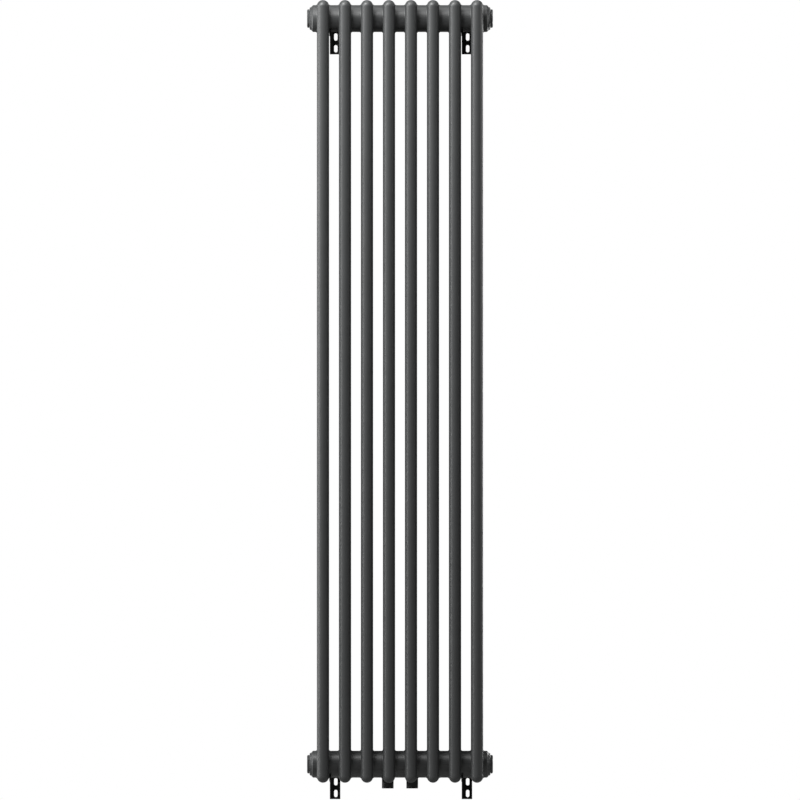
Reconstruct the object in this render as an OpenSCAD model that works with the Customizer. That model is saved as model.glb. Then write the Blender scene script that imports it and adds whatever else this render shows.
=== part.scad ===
// Tall sectional steel radiator: eight sections of three tubes, twin pipe connections at the
// bottom centre, screwed end plugs, an air vent valve and four wall brackets.
// Millimetres. X runs across the width, -Y is the front, +Y is the wall and +Z is up.
// The origin is midway between the two pipe connections, level with their open lower ends.

/* [Sections] */
// Number of sections side by side
section_count = 8; // [4:2:12]
// Distance between the axes of neighbouring sections
section_pitch = 45; // [42:1:55]
// Outer diameter of one vertical tube
tube_d = 25; // [22:0.5:26]
// Distance between the tube rows, front to back
row_pitch = 37.5; // [36:0.5:42]
// Sheet thickness of tubes and heads
sheet_wall = 1.25; // [1:0.05:2]
// Height of a section over both domed ends
section_h = 1600; // [600:10:2000]

/* [Headers] */
// Outer diameter of the header hubs between sections
hub_d = 55; // [52:0.5:58]
// Wall thickness of the hubs
hub_wall = 2; // [1.5:0.1:2.5]
// Distance from the tip of a dome to the header axis
header_inset = 37.5; // [36:0.5:42]
// Distance from the header axis to the weld between head and tube
head_stub = 30; // [29:1:36]

/* [End caps and plugs] */
// Distance from the last tube axis to the weld between hub and end cap
cap_start = 20.2; // [18:0.1:20.8]
// Distance from the last tube axis to the sealing face of an end cap
cap_face = 26.5; // [25.5:0.1:28]
// Diameter of the sealing face
cap_face_d = 42.4; // [40:0.2:44]
// Diameter of the plug thread, three-quarter inch pipe
plug_thread_d = 26.4; // [26.2:0.1:26.6]
// Hexagon of the plugs across its corners
plug_hex_corners = 37.7; // [36:0.1:39]
// Thickness of the hexagon
plug_hex_h = 5; // [4:0.5:7]
// Thickness of the plug gasket
gasket_t = 1; // [0.8:0.1:1.5]

/* [Pipe connections] */
// Distance between the two connection axes
connection_pitch = 50; // [50:1:52]
// Outer diameter of a connection socket
socket_d = 24; // [23.5:0.5:24.5]
// Minor diameter of the socket thread, half-inch pipe
socket_thread_d = 18.6; // [18:0.1:19]
// Depth of the socket thread
socket_thread_depth = 15; // [12:1:18]
// Distance from the open end of a socket up to the hub
socket_drop = 22; // [18:1:40]

/* [Wall brackets] */
// Distance from the rear tubes to the wall, brackets at mid travel
wall_gap = 35; // [32:1:45]
// Travel of a bracket each way from the middle
slide_travel = 10; // [5:1:10]
// Thickness of the bracket sheet
bracket_t = 3; // [2.5:0.1:3]
// Width of the wall plate
plate_w = 21.4; // [20:0.2:24]
// Distance from the header axis down to the end of the wall plate
plate_drop = 72.3; // [70:0.1:90]
// Width of a wall slot
slot_w = 7; // [6:0.5:8]
// Length of a wall slot
slot_l = 15; // [12:0.5:18]
// Distance between the two slots of a bracket
slot_pitch = 24; // [22:0.5:28]
// Distance from the header axis down to the upper slot
slot_drop = 36.8; // [34:0.1:38]
// Outer radius of the hook that holds the hub
hook_outer_r = 35.6; // [34:0.1:37]
// Angle below the horizontal at which the tip of the hook ends
hook_tip_angle = 40; // [30:1:60]

/* [Air vent] */
// Diameter of the spindle thread
spindle_d = 8; // [6:0.5:9]
// Width of the square that the vent key turns
key_square = 5; // [4:0.5:5.5]
// Outer diameter of the swivelling outlet ring
outlet_ring_d = 18; // [16:0.5:20]

/* [Hidden] */
round_fn = 64;
fit_gap = 0.05;
slide_gap = 0.1;
overcut = 1;

tube_r = tube_d / 2;
tube_bore_r = tube_r - sheet_wall;
hub_r = hub_d / 2;
hub_bore_r = hub_r - hub_wall;
rows = [-row_pitch, 0, row_pitch];
half_count = section_count / 2;

// Heights of the two header axes
bottom_axis_z = socket_drop + hub_r;
top_axis_z = bottom_axis_z + section_h - 2 * header_inset;
tube_h = top_axis_z - bottom_axis_z - 2 * head_stub;

// The web joins the three column ends of a head and is a little narrower than the tubes
web_r = tube_r - 1;
web_bore_r = web_r - sheet_wall;
web_top = hub_r - web_r;
web_foot = hub_r - web_r - 26;
dome_z = header_inset - tube_r;

// End caps and plugs, measured outwards from the last tube axis
cap_neck_r = cap_face_d / 2 + 2.4;
cap_neck_x = cap_start + hub_r - cap_neck_r;
cap_groove_w = 0.5;
cap_groove_depth = 0.7;
cap_spigot_l = 4;
plug_r = plug_thread_d / 2;
plug_hex_x = cap_face + gasket_t;
plug_face_x = plug_hex_x + plug_hex_h;
plug_shank_l = 13;
gasket_r = 15.6;
plug_hex_flat_r = plug_hex_corners / 2 * cos(30);

// Air vent
spindle_r = spindle_d / 2;
ring_r = outlet_ring_d / 2;
ring_t = plug_hex_h - 0.6;
ring_bore_r = 4.6;
outlet_r = 1.1;
spindle_seat_l = 3;
spindle_tip_r = 1.2;

// Brackets: places relative to the middle of the gap between two sections
bracket_gap_x = (half_count - 1) * section_pitch;
wall_y = row_pitch + tube_r + wall_gap;
hook_x0 = -section_pitch / 2 + tube_r + 0.4;
hook_t = bracket_t + 0.5;
hook_x1 = hook_x0 + hook_t;
liner_t = 1.4;
liner_inner_r = hub_r + slide_gap;
hook_inner_r = liner_inner_r + liner_t + fit_gap;
flange_x = hook_x1 + slide_gap;
plate_x0 = -8.6;
plate_top = 25;
tab_top = -24;
plate_slot_x = 3.6;
flange_front_y = wall_y - 41;
flange_low = -16;
flange_high = 18;
bend_r = 1.5;
bend_start_y = wall_y - bracket_t - bend_r;
arm_h = 26;
arm_end_y = wall_y - slide_travel - 3;
bolt_y = wall_y - 23;
bolt_r = 4;
bolt_head_r = 7.2;
bolt_head_h = 3.2;
nut_corners = 15;
nut_h = 6.5;
washer_t = 1.6;
washer_r = 8;
bolt_tail = 2;

bracket_places = [
    ["top_left", -bracket_gap_x, top_axis_z],
    ["top_right", bracket_gap_x, top_axis_z],
    ["bottom_left", -bracket_gap_x, bottom_axis_z],
    ["bottom_right", bracket_gap_x, bottom_axis_z]
];
header_ends = [
    ["top_left", -1, top_axis_z],
    ["top_right", 1, top_axis_z],
    ["bottom_left", -1, bottom_axis_z],
    ["bottom_right", 1, bottom_axis_z]
];
section_names = [for (i = [1 : section_count]) str(i)];
corner_names = [for (place = bracket_places) place[0]];

function section_x(i) = (i - (section_count + 1) / 2) * section_pitch;
function is_first(i) = i == 1;
function is_last(i) = i == section_count;
function has_socket(i) = i == half_count || i == half_count + 1;
function last_tube_x() = section_x(section_count);

// A cylinder along X from x0 to x1
module x_rod(x0, x1, r, fn = round_fn) {
    translate([x0, 0, 0]) rotate([0, 90, 0]) cylinder(r = r, h = x1 - x0, $fn = fn);
}

// A cone along X from x0 to x1
module x_cone(x0, x1, r0, r1) {
    translate([x0, 0, 0]) rotate([0, 90, 0]) cylinder(r1 = r0, r2 = r1, h = x1 - x0, $fn = round_fn);
}

// A flat plate whose outline lies in the Y-Z plane, from x0 to x1
module yz_plate(x0, x1) {
    translate([x0, 0, 0]) rotate([90, 0, 90]) linear_extrude(height = x1 - x0) children();
}

// The three tubes of one section, front to back
module section_tubes(i) {
    color("#3b3d3e")
    for (y = rows) translate([section_x(i), y, bottom_axis_z + head_stub]) difference() {
        cylinder(r = tube_r, h = tube_h, $fn = round_fn);
        translate([0, 0, -overcut]) cylinder(r = tube_bore_r, h = tube_h + 2 * overcut, $fn = round_fn);
    }
}

// One column end: a straight stub under a dome, with the header axis at z = 0
module column_end(r, low) {
    translate([0, 0, low]) cylinder(r = r, h = dome_z - low, $fn = round_fn);
    translate([0, 0, dome_z]) sphere(r = r, $fn = round_fn);
}

// The web between the column ends: a bar with round top and foot that runs front to back
module web(r, length) {
    for (z = [web_foot, web_top]) translate([0, length / 2, z]) rotate([90, 0, 0])
        cylinder(r = r, h = length, $fn = round_fn);
    translate([-r + 0.2, -length / 2, web_foot]) cube([2 * r - 0.4, length, web_top - web_foot]);
}

// One hollow head around its header axis, domes up; x0 and x1 are the ends of its hub
module head(x0, x1, middle_dome = true) {
    difference() {
        union() {
            for (y = [-row_pitch, row_pitch]) translate([0, y, 0]) column_end(tube_r, -head_stub);
            if (middle_dome) column_end(tube_r, -head_stub);
            else translate([0, 0, -head_stub]) cylinder(r = tube_r, h = head_stub, $fn = round_fn);
            web(web_r, 2 * row_pitch);
            x_rod(x0, x1, hub_r);
        }
        for (y = [-row_pitch, row_pitch]) translate([0, y, 0])
            column_end(tube_bore_r, -head_stub - overcut);
        if (middle_dome) column_end(tube_bore_r, -head_stub - overcut);
        else translate([0, 0, -head_stub - overcut])
            cylinder(r = tube_bore_r, h = head_stub, $fn = round_fn);
        web(web_bore_r, 2 * row_pitch - 2);
        x_rod(x0 - overcut, x1 + overcut, hub_bore_r);
    }
}

function hub_x0(i) = is_first(i) ? -cap_start : -section_pitch / 2;
function hub_x1(i) = is_last(i) ? cap_start : section_pitch / 2;

module head_top(i) {
    color("#3b3d3e") translate([section_x(i), 0, top_axis_z]) head(hub_x0(i), hub_x1(i));
}

module head_bottom(i) {
    side = sign(section_x(i));
    color("#3b3d3e") difference() {
        translate([section_x(i), 0, bottom_axis_z]) mirror([0, 0, 1])
            head(hub_x0(i), hub_x1(i), !has_socket(i));
        if (has_socket(i)) translate([side * connection_pitch / 2, 0, 0])
            cylinder(r = socket_d / 2, h = bottom_axis_z, $fn = round_fn);
    }
}

// Cap that closes a header end, with the plug thread through it, drawn for the +X end
module end_cap() {
    difference() {
        union() {
            x_rod(cap_start - cap_spigot_l, cap_start + fit_gap, hub_bore_r);
            x_cone(cap_start, cap_neck_x, hub_r, cap_neck_r);
            x_rod(cap_neck_x - fit_gap, cap_neck_x + cap_groove_w, cap_neck_r - cap_groove_depth);
            x_cone(cap_neck_x + cap_groove_w, cap_face, cap_neck_r, cap_face_d / 2);
        }
        x_rod(cap_start - cap_spigot_l - overcut, cap_face + overcut, plug_r + fit_gap);
    }
}

// Places what is drawn for the +X end at a header end
module at_header_end(end) {
    translate([end[1] * last_tube_x(), 0, end[2]]) mirror([end[1] < 0 ? 1 : 0, 0, 0]) children();
}

module end_cap_at(end) {
    color("#3b3d3e") at_header_end(end) end_cap();
}

// Hexagon and threaded shank that every plug shares
module plug_body() {
    x_rod(cap_face - plug_shank_l, plug_hex_x + fit_gap, plug_r);
    intersection() {
        x_rod(plug_hex_x, plug_face_x, plug_hex_corners / 2, 6);
        union() {
            x_rod(plug_hex_x, plug_face_x - 1.5, plug_hex_corners);
            x_cone(plug_face_x - 1.5, plug_face_x, plug_hex_corners / 2 + 0.6, plug_hex_flat_r - 0.4);
        }
    }
}

module blank_plug(end) {
    color("#3b3d3e") at_header_end(end) difference() {
        plug_body();
        x_rod(cap_face - plug_shank_l - overcut, plug_hex_x - 1, plug_r - 3);
    }
}

module vent_plug() {
    color("#3b3d3e") at_header_end(header_ends[1]) difference() {
        plug_body();
        x_rod(plug_face_x - ring_t - fit_gap, plug_face_x + overcut, ring_r + fit_gap);
        x_rod(cap_face - plug_shank_l + spindle_seat_l, plug_face_x, spindle_r + fit_gap);
        x_cone(cap_face - plug_shank_l, cap_face - plug_shank_l + spindle_seat_l + 0.01,
            spindle_tip_r + fit_gap, spindle_r + fit_gap);
        x_rod(cap_face - plug_shank_l - overcut, cap_face, spindle_tip_r);
    }
}

// Screw with a conical needle and a square for the vent key
module vent_spindle() {
    seat_x = cap_face - plug_shank_l + spindle_seat_l;
    color("#b9a36a") at_header_end(header_ends[1]) {
        x_cone(cap_face - plug_shank_l + 0.3, seat_x + 0.2, spindle_tip_r, spindle_r);
        x_rod(seat_x + 0.2, plug_hex_x, spindle_r);
        translate([plug_hex_x - fit_gap, -key_square / 2, -key_square / 2])
            cube([plug_hex_h - 0.3, key_square, key_square]);
    }
}

// Ring round the spindle that swivels so that its outlet can point down
module vent_outlet_ring() {
    color("#2b2c2d") at_header_end(header_ends[1]) difference() {
        x_rod(plug_face_x - ring_t, plug_face_x, ring_r);
        x_rod(plug_face_x - ring_t - overcut, plug_face_x + overcut, ring_bore_r);
        translate([0, 0, -(ring_r + ring_bore_r) / 2])
            x_rod(plug_face_x - ring_t - overcut, plug_face_x + overcut, outlet_r);
    }
}

module plug_gaskets() {
    color("#1c1c1c") for (end = header_ends) at_header_end(end) difference() {
        x_rod(cap_face, plug_hex_x, gasket_r);
        x_rod(cap_face - overcut, plug_hex_x + overcut, plug_r + fit_gap);
    }
}

// Socket welded into the bottom hub, threaded for the pipe
module connection_socket(side) {
    color("#2b2c2d") translate([side * connection_pitch / 2, 0, 0]) difference() {
        cylinder(r = socket_d / 2, h = socket_drop + 7, $fn = round_fn);
        translate([0, 0, -overcut])
            cylinder(r = socket_thread_d / 2, h = socket_thread_depth + overcut, $fn = round_fn);
        cylinder(r = socket_thread_d / 2 - 1.3, h = socket_drop + 7 + overcut, $fn = round_fn);
    }
}

module connection_left() {
    connection_socket(-1);
}

module connection_right() {
    connection_socket(1);
}

// Plate inside the bottom header that sends the water up one half and down the other
module flow_divider() {
    color("#3b3d3e") translate([0, 0, bottom_axis_z]) x_rod(-1, 1, hub_bore_r - fit_gap);
}

// Places what is drawn about a header axis at a bracket
module at_bracket(place) {
    translate([place[1], 0, place[2]]) children();
}

// Ring sector in the Y-Z plane from the tip of the hook, under the hub, to the level of the axis
module hook_sector(inner_r, outer_r) {
    reach = 2 * outer_r;
    difference() {
        circle(r = outer_r, $fn = round_fn);
        circle(r = inner_r, $fn = round_fn);
        translate([-reach, 0]) square([2 * reach, reach]);
        polygon([[0, 0], [-reach, overcut], [-reach, -reach * tan(hook_tip_angle)]]);
    }
}

// Hook under the hub and the flat arm that runs back to the clamp bolt
module hook_arm(place) {
    color("#151616") at_bracket(place) difference() {
        yz_plate(hook_x0, hook_x1) {
            hook_sector(hook_inner_r, hook_outer_r);
            difference() {
                translate([20, -arm_h / 2]) square([arm_end_y - 20, arm_h]);
                circle(r = hook_inner_r, $fn = round_fn);
            }
        }
        translate([0, bolt_y, 0]) x_rod(hook_x0 - overcut, hook_x1 + overcut, bolt_r + fit_gap);
    }
}

// Plastic strip that keeps the hub off the steel
module hook_liner(place) {
    color("#202020") at_bracket(place) yz_plate(hook_x0, hook_x1)
        hook_sector(liner_inner_r, hook_inner_r - fit_gap);
}

// Bracket sheet seen from above: the wall plate and the flange that turns forward from it
module angle_outline() {
    difference() {
        union() {
            translate([flange_x, wall_y - bracket_t]) square([plate_x0 + plate_w - flange_x, bracket_t]);
            translate([flange_x, flange_front_y]) square([bracket_t, wall_y - flange_front_y]);
        }
        difference() {
            translate([flange_x - overcut, wall_y - bend_r]) square([bend_r + overcut, bend_r + overcut]);
            translate([flange_x + bend_r, wall_y - bend_r]) circle(r = bend_r, $fn = round_fn);
        }
    }
}

// A slot through the wall plate, upright, centred at height z
module wall_slot(z) {
    straight = slot_l - slot_w;
    translate([plate_slot_x, wall_y - bracket_t - overcut, z]) {
        for (end = [-straight / 2, straight / 2]) translate([0, 0, end]) rotate([-90, 0, 0])
            cylinder(r = slot_w / 2, h = bracket_t + 2 * overcut, $fn = round_fn);
        translate([-slot_w / 2, 0, -straight / 2]) cube([slot_w, bracket_t + 2 * overcut, straight]);
    }
}

// Slot along Y in the flange, in which the clamp bolt lets the bracket slide
module clamp_slot() {
    for (end = [-slide_travel, slide_travel]) translate([0, bolt_y + end, 0])
        x_rod(flange_x - overcut, flange_x + bracket_t + overcut, bolt_r + slide_gap);
    translate([flange_x - overcut, bolt_y - slide_travel, -bolt_r - slide_gap])
        cube([bracket_t + 2 * overcut, 2 * slide_travel, 2 * (bolt_r + slide_gap)]);
}

// Wall plate with two slots and the flange that carries the hook arm
module wall_angle(place) {
    color("#151616") at_bracket(place) difference() {
        union() {
            difference() {
                translate([0, 0, tab_top]) linear_extrude(height = plate_top - tab_top) angle_outline();
                translate([flange_x - overcut, 0, tab_top - overcut])
                    cube([bracket_t + 2 * overcut, bend_start_y, flange_low - tab_top + overcut]);
                translate([flange_x - overcut, 0, flange_high])
                    cube([bracket_t + 2 * overcut, bend_start_y, plate_top - flange_high + overcut]);
            }
            translate([plate_x0, wall_y - bracket_t, -plate_drop])
                cube([plate_w, bracket_t, plate_drop + tab_top + fit_gap]);
        }
        for (step = [0, 1]) wall_slot(-slot_drop - step * slot_pitch);
        clamp_slot();
    }
}

module at_clamp(place) {
    at_bracket(place) translate([0, bolt_y, 0]) children();
}

// Round-headed bolts through the hook arms and the flange slots
module clamp_bolts() {
    tail_x = flange_x + bracket_t + washer_t + nut_h + bolt_tail;
    color("#8d9092") for (place = bracket_places) at_clamp(place) {
        x_cone(hook_x0 - bolt_head_h, hook_x0, bolt_head_r - 2.5, bolt_head_r);
        x_rod(hook_x0 - fit_gap, tail_x, bolt_r);
    }
}

module clamp_washers() {
    face_x = flange_x + bracket_t + slide_gap;
    color("#8d9092") for (place = bracket_places) at_clamp(place) difference() {
        x_rod(face_x, face_x + washer_t, washer_r);
        x_rod(face_x - overcut, face_x + washer_t + overcut, bolt_r + fit_gap);
    }
}

module clamp_nuts() {
    seat_x = flange_x + bracket_t + slide_gap + washer_t;
    color("#8d9092") for (place = bracket_places) at_clamp(place) difference() {
        x_rod(seat_x, seat_x + nut_h, nut_corners / 2, 6);
        x_rod(seat_x - overcut, seat_x + nut_h + overcut, bolt_r + fit_gap);
    }
}

for (i = [1 : section_count]) {
    section_tubes(i);
    head_top(i);
    head_bottom(i);
}
for (end = header_ends) {
    end_cap_at(end);
}
blank_plug(header_ends[0]);  // plug_top_left
blank_plug(header_ends[2]);  // plug_bottom_left
blank_plug(header_ends[3]);  // plug_bottom_right
vent_plug();
plug_gaskets();
vent_spindle();
vent_outlet_ring();
connection_left();
connection_right();
flow_divider();
for (place = bracket_places) {
    hook_arm(place);
    hook_liner(place);
    wall_angle(place);
}
clamp_bolts();
clamp_washers();
clamp_nuts();
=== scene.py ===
# %% [markdown]
# # A tall sectional steel radiator
#
# The radiator is eight welded steel sections side by side. A section is three vertical tubes, one
# behind the other, between two pressed heads. Round hubs join the heads into a top and a bottom
# header. The headers are closed by chamfered end caps with hexagon plugs, and one plug holds the
# air vent. Two pipe sockets come out of the bottom header, and four black brackets hold the
# radiator to the wall.
#
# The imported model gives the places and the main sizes. This lesson loads it and builds the surface
# that one sees: soft blends where the real sheet is pressed and welded, rolled edges on the
# brackets, threads, and paint.

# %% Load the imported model
import math

import bpy
import bmesh
import numpy as np
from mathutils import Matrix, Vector


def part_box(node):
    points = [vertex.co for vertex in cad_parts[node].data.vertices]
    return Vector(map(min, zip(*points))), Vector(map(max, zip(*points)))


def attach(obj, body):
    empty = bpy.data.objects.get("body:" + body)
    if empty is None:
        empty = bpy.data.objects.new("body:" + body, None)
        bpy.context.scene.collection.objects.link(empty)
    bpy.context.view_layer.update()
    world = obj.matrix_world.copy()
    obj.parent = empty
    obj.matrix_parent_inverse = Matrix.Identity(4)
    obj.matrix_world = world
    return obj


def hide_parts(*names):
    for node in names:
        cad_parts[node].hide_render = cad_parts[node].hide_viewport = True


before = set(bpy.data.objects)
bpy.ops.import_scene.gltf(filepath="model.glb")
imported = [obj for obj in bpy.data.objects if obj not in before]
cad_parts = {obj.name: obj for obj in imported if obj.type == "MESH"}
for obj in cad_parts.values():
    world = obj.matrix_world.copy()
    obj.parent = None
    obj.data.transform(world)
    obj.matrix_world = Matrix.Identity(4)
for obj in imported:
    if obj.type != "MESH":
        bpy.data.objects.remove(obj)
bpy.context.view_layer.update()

# %% [markdown]
# ## Sizes from the model
#
# The tubes, heads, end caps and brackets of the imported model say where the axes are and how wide
# things are, so a new piece lands on the part that it stands for. What a box cannot tell, such as
# the depth of a thread or the place of a slot, is a named number in the cell that uses it. Lengths
# are in metres, and `MM` keeps small sizes readable.

# %% Read the driving sizes
MM = 0.001


def box(node):
    low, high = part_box(node)
    return Vector(low), Vector(high)


def middle(node):
    low, high = box(node)
    return (low + high) / 2


SECTIONS = range(1, 1 + sum(name.startswith("tubes_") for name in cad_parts))
CORNERS = ["top_left", "top_right", "bottom_left", "bottom_right"]

tube_low, tube_high = box("tubes_1")
TUBE_R = (tube_high.x - tube_low.x) / 2
ROW_PITCH = (tube_high.y - tube_low.y) / 2 - TUBE_R
ROWS = [-ROW_PITCH, 0.0, ROW_PITCH]
SECTION_X = {i: middle(f"tubes_{i}").x for i in SECTIONS}
HALF_PITCH = (SECTION_X[2] - SECTION_X[1]) / 2

cap_low, cap_high = box("end_cap_top_right")
HUB_R = (cap_high.z - cap_low.z) / 2
AXIS_Z = {"top": middle("end_cap_top_right").z, "bottom": middle("end_cap_bottom_right").z}
HEADER_SPAN = AXIS_Z["top"] - AXIS_Z["bottom"]
HEAD_STUB = AXIS_Z["top"] - tube_high.z
DOME_Z = box("head_top_1")[1].z - AXIS_Z["top"] - TUBE_R
HUB_END = box("head_top_8")[1].x - SECTION_X[8]
print(f"tube r {TUBE_R / MM:.2f}, hub r {HUB_R / MM:.2f}, half pitch {HALF_PITCH / MM:.2f} mm")
print(f"header axes at z = {AXIS_Z['bottom']:.4f} and {AXIS_Z['top']:.4f} m")

# %% [markdown]
# ## Modelling helpers
#
# An operator works on what is selected, so every helper starts from an empty selection. A finished
# piece sits at the world origin with its place in its mesh, and its faces point outwards.

# %% Selection, transforms and joining
def only(obj):
    if bpy.context.object and bpy.context.object.mode != "OBJECT":
        bpy.ops.object.mode_set(mode="OBJECT")
    bpy.ops.object.select_all(action="DESELECT")
    obj.select_set(True)
    bpy.context.view_layer.objects.active = obj
    return obj


def settle(obj, name):
    only(obj)
    obj.name = name
    obj.data.name = name
    bpy.ops.object.transform_apply(location=True, rotation=True, scale=True)
    return obj


def join(name, parts):
    only(parts[0])
    for part in parts[1:]:
        part.select_set(True)
    if len(parts) > 1:
        bpy.ops.object.join()
    return settle(bpy.context.object, name)


def copy_to(obj, name, shift=(0, 0, 0), mirror=(1, 1, 1)):
    twin = obj.copy()
    twin.data = obj.data.copy()
    bpy.context.scene.collection.objects.link(twin)
    twin.location = shift
    twin.scale = mirror
    settle(twin, name)
    if mirror[0] * mirror[1] * mirror[2] < 0:
        outward(twin)
    return twin


def delete(obj):
    only(obj)
    bpy.ops.object.delete()


def outward(obj):
    only(obj)
    bpy.ops.object.mode_set(mode="EDIT")
    bpy.ops.mesh.select_all(action="SELECT")
    bpy.ops.mesh.normals_make_consistent(inside=False)
    bpy.ops.object.mode_set(mode="OBJECT")
    return obj


# %% Primitives, cuts and edges
MERGE = 0.01 * MM
OVERCUT = 1 * MM


def object_from(name, points, edges=(), faces=()):
    mesh = bpy.data.meshes.new(name)
    mesh.from_pydata(points, edges, faces)
    obj = bpy.data.objects.new(name, mesh)
    bpy.context.scene.collection.objects.link(obj)
    return obj


def rod_x(x0, x1, r, centre=(0, 0), vertices=64):
    bpy.ops.mesh.primitive_cylinder_add(
        vertices=vertices,
        radius=r,
        depth=x1 - x0,
        location=((x0 + x1) / 2, centre[0], centre[1]),
        rotation=(0, math.pi / 2, 0),
    )
    return settle(bpy.context.object, "rod_x")


def rod_z(z0, z1, r, centre=(0, 0), vertices=64):
    bpy.ops.mesh.primitive_cylinder_add(
        vertices=vertices,
        radius=r,
        depth=z1 - z0,
        location=(centre[0], centre[1], (z0 + z1) / 2),
    )
    return settle(bpy.context.object, "rod_z")


def block(low, high):
    low, high = Vector(low), Vector(high)
    bpy.ops.mesh.primitive_cube_add(size=1, location=(low + high) / 2)
    bpy.context.object.scale = high - low
    return settle(bpy.context.object, "block")


def combine(obj, tool, operation="DIFFERENCE"):
    only(obj)
    modifier = obj.modifiers.new("cut", "BOOLEAN")
    modifier.operation = operation
    modifier.solver = "EXACT"
    modifier.object = tool
    bpy.ops.object.modifier_apply(modifier=modifier.name)
    delete(tool)
    return obj


def round_edges(obj, width, segments=2, angle=35):
    only(obj)
    modifier = obj.modifiers.new("edges", "BEVEL")
    modifier.width = width
    modifier.segments = segments
    modifier.limit_method = "ANGLE"
    modifier.angle_limit = math.radians(angle)
    modifier.harden_normals = False
    bpy.ops.object.modifier_apply(modifier=modifier.name)
    return obj


def smooth(obj, angle=40):
    only(obj)
    bpy.ops.object.shade_smooth_by_angle(angle=math.radians(angle))
    return obj


# %% Turned shapes
def turned(name, profile, axis="X", steps=96, closed=True):
    """Spins a profile of (place along the axis, radius) points once round."""
    if axis == "X":
        points = [(place, 0, radius) for place, radius in profile]
        direction = (1, 0, 0)
    else:
        points = [(radius, 0, place) for place, radius in profile]
        direction = (0, 0, 1)
    edges = [(i, i + 1) for i in range(len(points) - 1)]
    if closed:
        edges.append((len(points) - 1, 0))
    obj = object_from(name, points, edges=edges)
    only(obj)
    bpy.ops.object.mode_set(mode="EDIT")
    bpy.ops.mesh.select_all(action="SELECT")
    bpy.ops.mesh.spin(steps=steps, angle=2 * math.pi, center=(0, 0, 0), axis=direction)
    bpy.ops.mesh.select_all(action="SELECT")
    bpy.ops.mesh.remove_doubles(threshold=MERGE)
    bpy.ops.mesh.normals_make_consistent(inside=False)
    bpy.ops.object.mode_set(mode="OBJECT")
    return settle(obj, name)


def arc(centre, r, start, end, steps):
    """Points of an arc, angles in degrees."""
    angles = [math.radians(start + (end - start) * k / steps) for k in range(steps + 1)]
    return [(centre[0] + r * math.cos(a), centre[1] + r * math.sin(a)) for a in angles]


def extruded(name, outline, reach):
    """A flat outline of (x, y, z) points, given its thickness by the vector reach."""
    obj = object_from(name, outline, faces=[list(range(len(outline)))])
    only(obj)
    bpy.ops.object.mode_set(mode="EDIT")
    bpy.ops.mesh.select_all(action="SELECT")
    bpy.ops.mesh.extrude_region_move(TRANSFORM_OT_translate={"value": reach})
    bpy.ops.object.mode_set(mode="OBJECT")
    return outward(obj)


# %% Finishing a piece
def finish_piece(obj, material, body, nodes, angle=40):
    smooth(obj, angle)
    obj.data.materials.clear()
    obj.data.materials.append(material)
    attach(obj, body)
    if nodes:
        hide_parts(*nodes)
    return obj


# %% [markdown]
# ## Paint and metal
#
# Powder coat is dusty resin that melts and flows. It dries satin, with a fine orange peel, and its
# gloss drifts a little from place to place. The same effect is on the radiator, the brackets and
# the sockets, so it is one node group with named inputs, and each paint places it with its own
# values.

# %% The powder coat group
DRIFT_SIZE = 22
PEEL_RELIEF = 0.4 * MM


def new_group(name, inputs, outputs):
    group = bpy.data.node_groups.new(name, "ShaderNodeTree")
    for socket, kind, default in inputs:
        item = group.interface.new_socket(socket, in_out="INPUT", socket_type=kind)
        item.default_value = default
    for socket, kind in outputs:
        group.interface.new_socket(socket, in_out="OUTPUT", socket_type=kind)
    return group, group.nodes.new("NodeGroupInput"), group.nodes.new("NodeGroupOutput")


def powder_coat_group():
    group, source, result = new_group(
        "powder_coat",
        [
            ("Color", "NodeSocketColor", (0.05, 0.05, 0.05, 1)),
            ("Mottle", "NodeSocketFloat", 0.06),
            ("Gloss Drift", "NodeSocketFloat", 0.08),
            ("Roughness", "NodeSocketFloat", 0.42),
            ("Peel Size", "NodeSocketFloat", 700.0),
            ("Peel Depth", "NodeSocketFloat", 0.02),
        ],
        [
            ("Color", "NodeSocketColor"),
            ("Roughness", "NodeSocketFloat"),
            ("Normal", "NodeSocketVector"),
        ],
    )
    nodes, links = group.nodes, group.links
    place = nodes.new("ShaderNodeTexCoord")
    drift = nodes.new("ShaderNodeTexNoise")
    drift.inputs["Scale"].default_value = DRIFT_SIZE
    drift.inputs["Detail"].default_value = 4
    grain = nodes.new("ShaderNodeTexNoise")
    grain.inputs["Detail"].default_value = 2
    centred = nodes.new("ShaderNodeMath")
    centred.operation = "SUBTRACT"
    centred.inputs[1].default_value = 0.5
    tone = nodes.new("ShaderNodeMath")
    tone.operation = "MULTIPLY_ADD"
    tone.inputs[2].default_value = 1.0
    shade = nodes.new("ShaderNodeHueSaturation")
    gloss = nodes.new("ShaderNodeMath")
    gloss.operation = "MULTIPLY_ADD"
    bump = nodes.new("ShaderNodeBump")
    bump.inputs["Distance"].default_value = PEEL_RELIEF
    links.new(place.outputs["Object"], drift.inputs["Vector"])
    links.new(place.outputs["Object"], grain.inputs["Vector"])
    links.new(source.outputs["Peel Size"], grain.inputs["Scale"])
    links.new(drift.outputs["Fac"], centred.inputs[0])
    links.new(centred.outputs[0], tone.inputs[0])
    links.new(source.outputs["Mottle"], tone.inputs[1])
    links.new(tone.outputs[0], shade.inputs["Value"])
    links.new(source.outputs["Color"], shade.inputs["Color"])
    links.new(centred.outputs[0], gloss.inputs[0])
    links.new(source.outputs["Gloss Drift"], gloss.inputs[1])
    links.new(source.outputs["Roughness"], gloss.inputs[2])
    links.new(grain.outputs["Fac"], bump.inputs["Height"])
    links.new(source.outputs["Peel Depth"], bump.inputs["Strength"])
    links.new(shade.outputs["Color"], result.inputs["Color"])
    links.new(gloss.outputs[0], result.inputs["Roughness"])
    links.new(bump.outputs["Normal"], result.inputs["Normal"])
    return group


POWDER_COAT = powder_coat_group()


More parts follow.
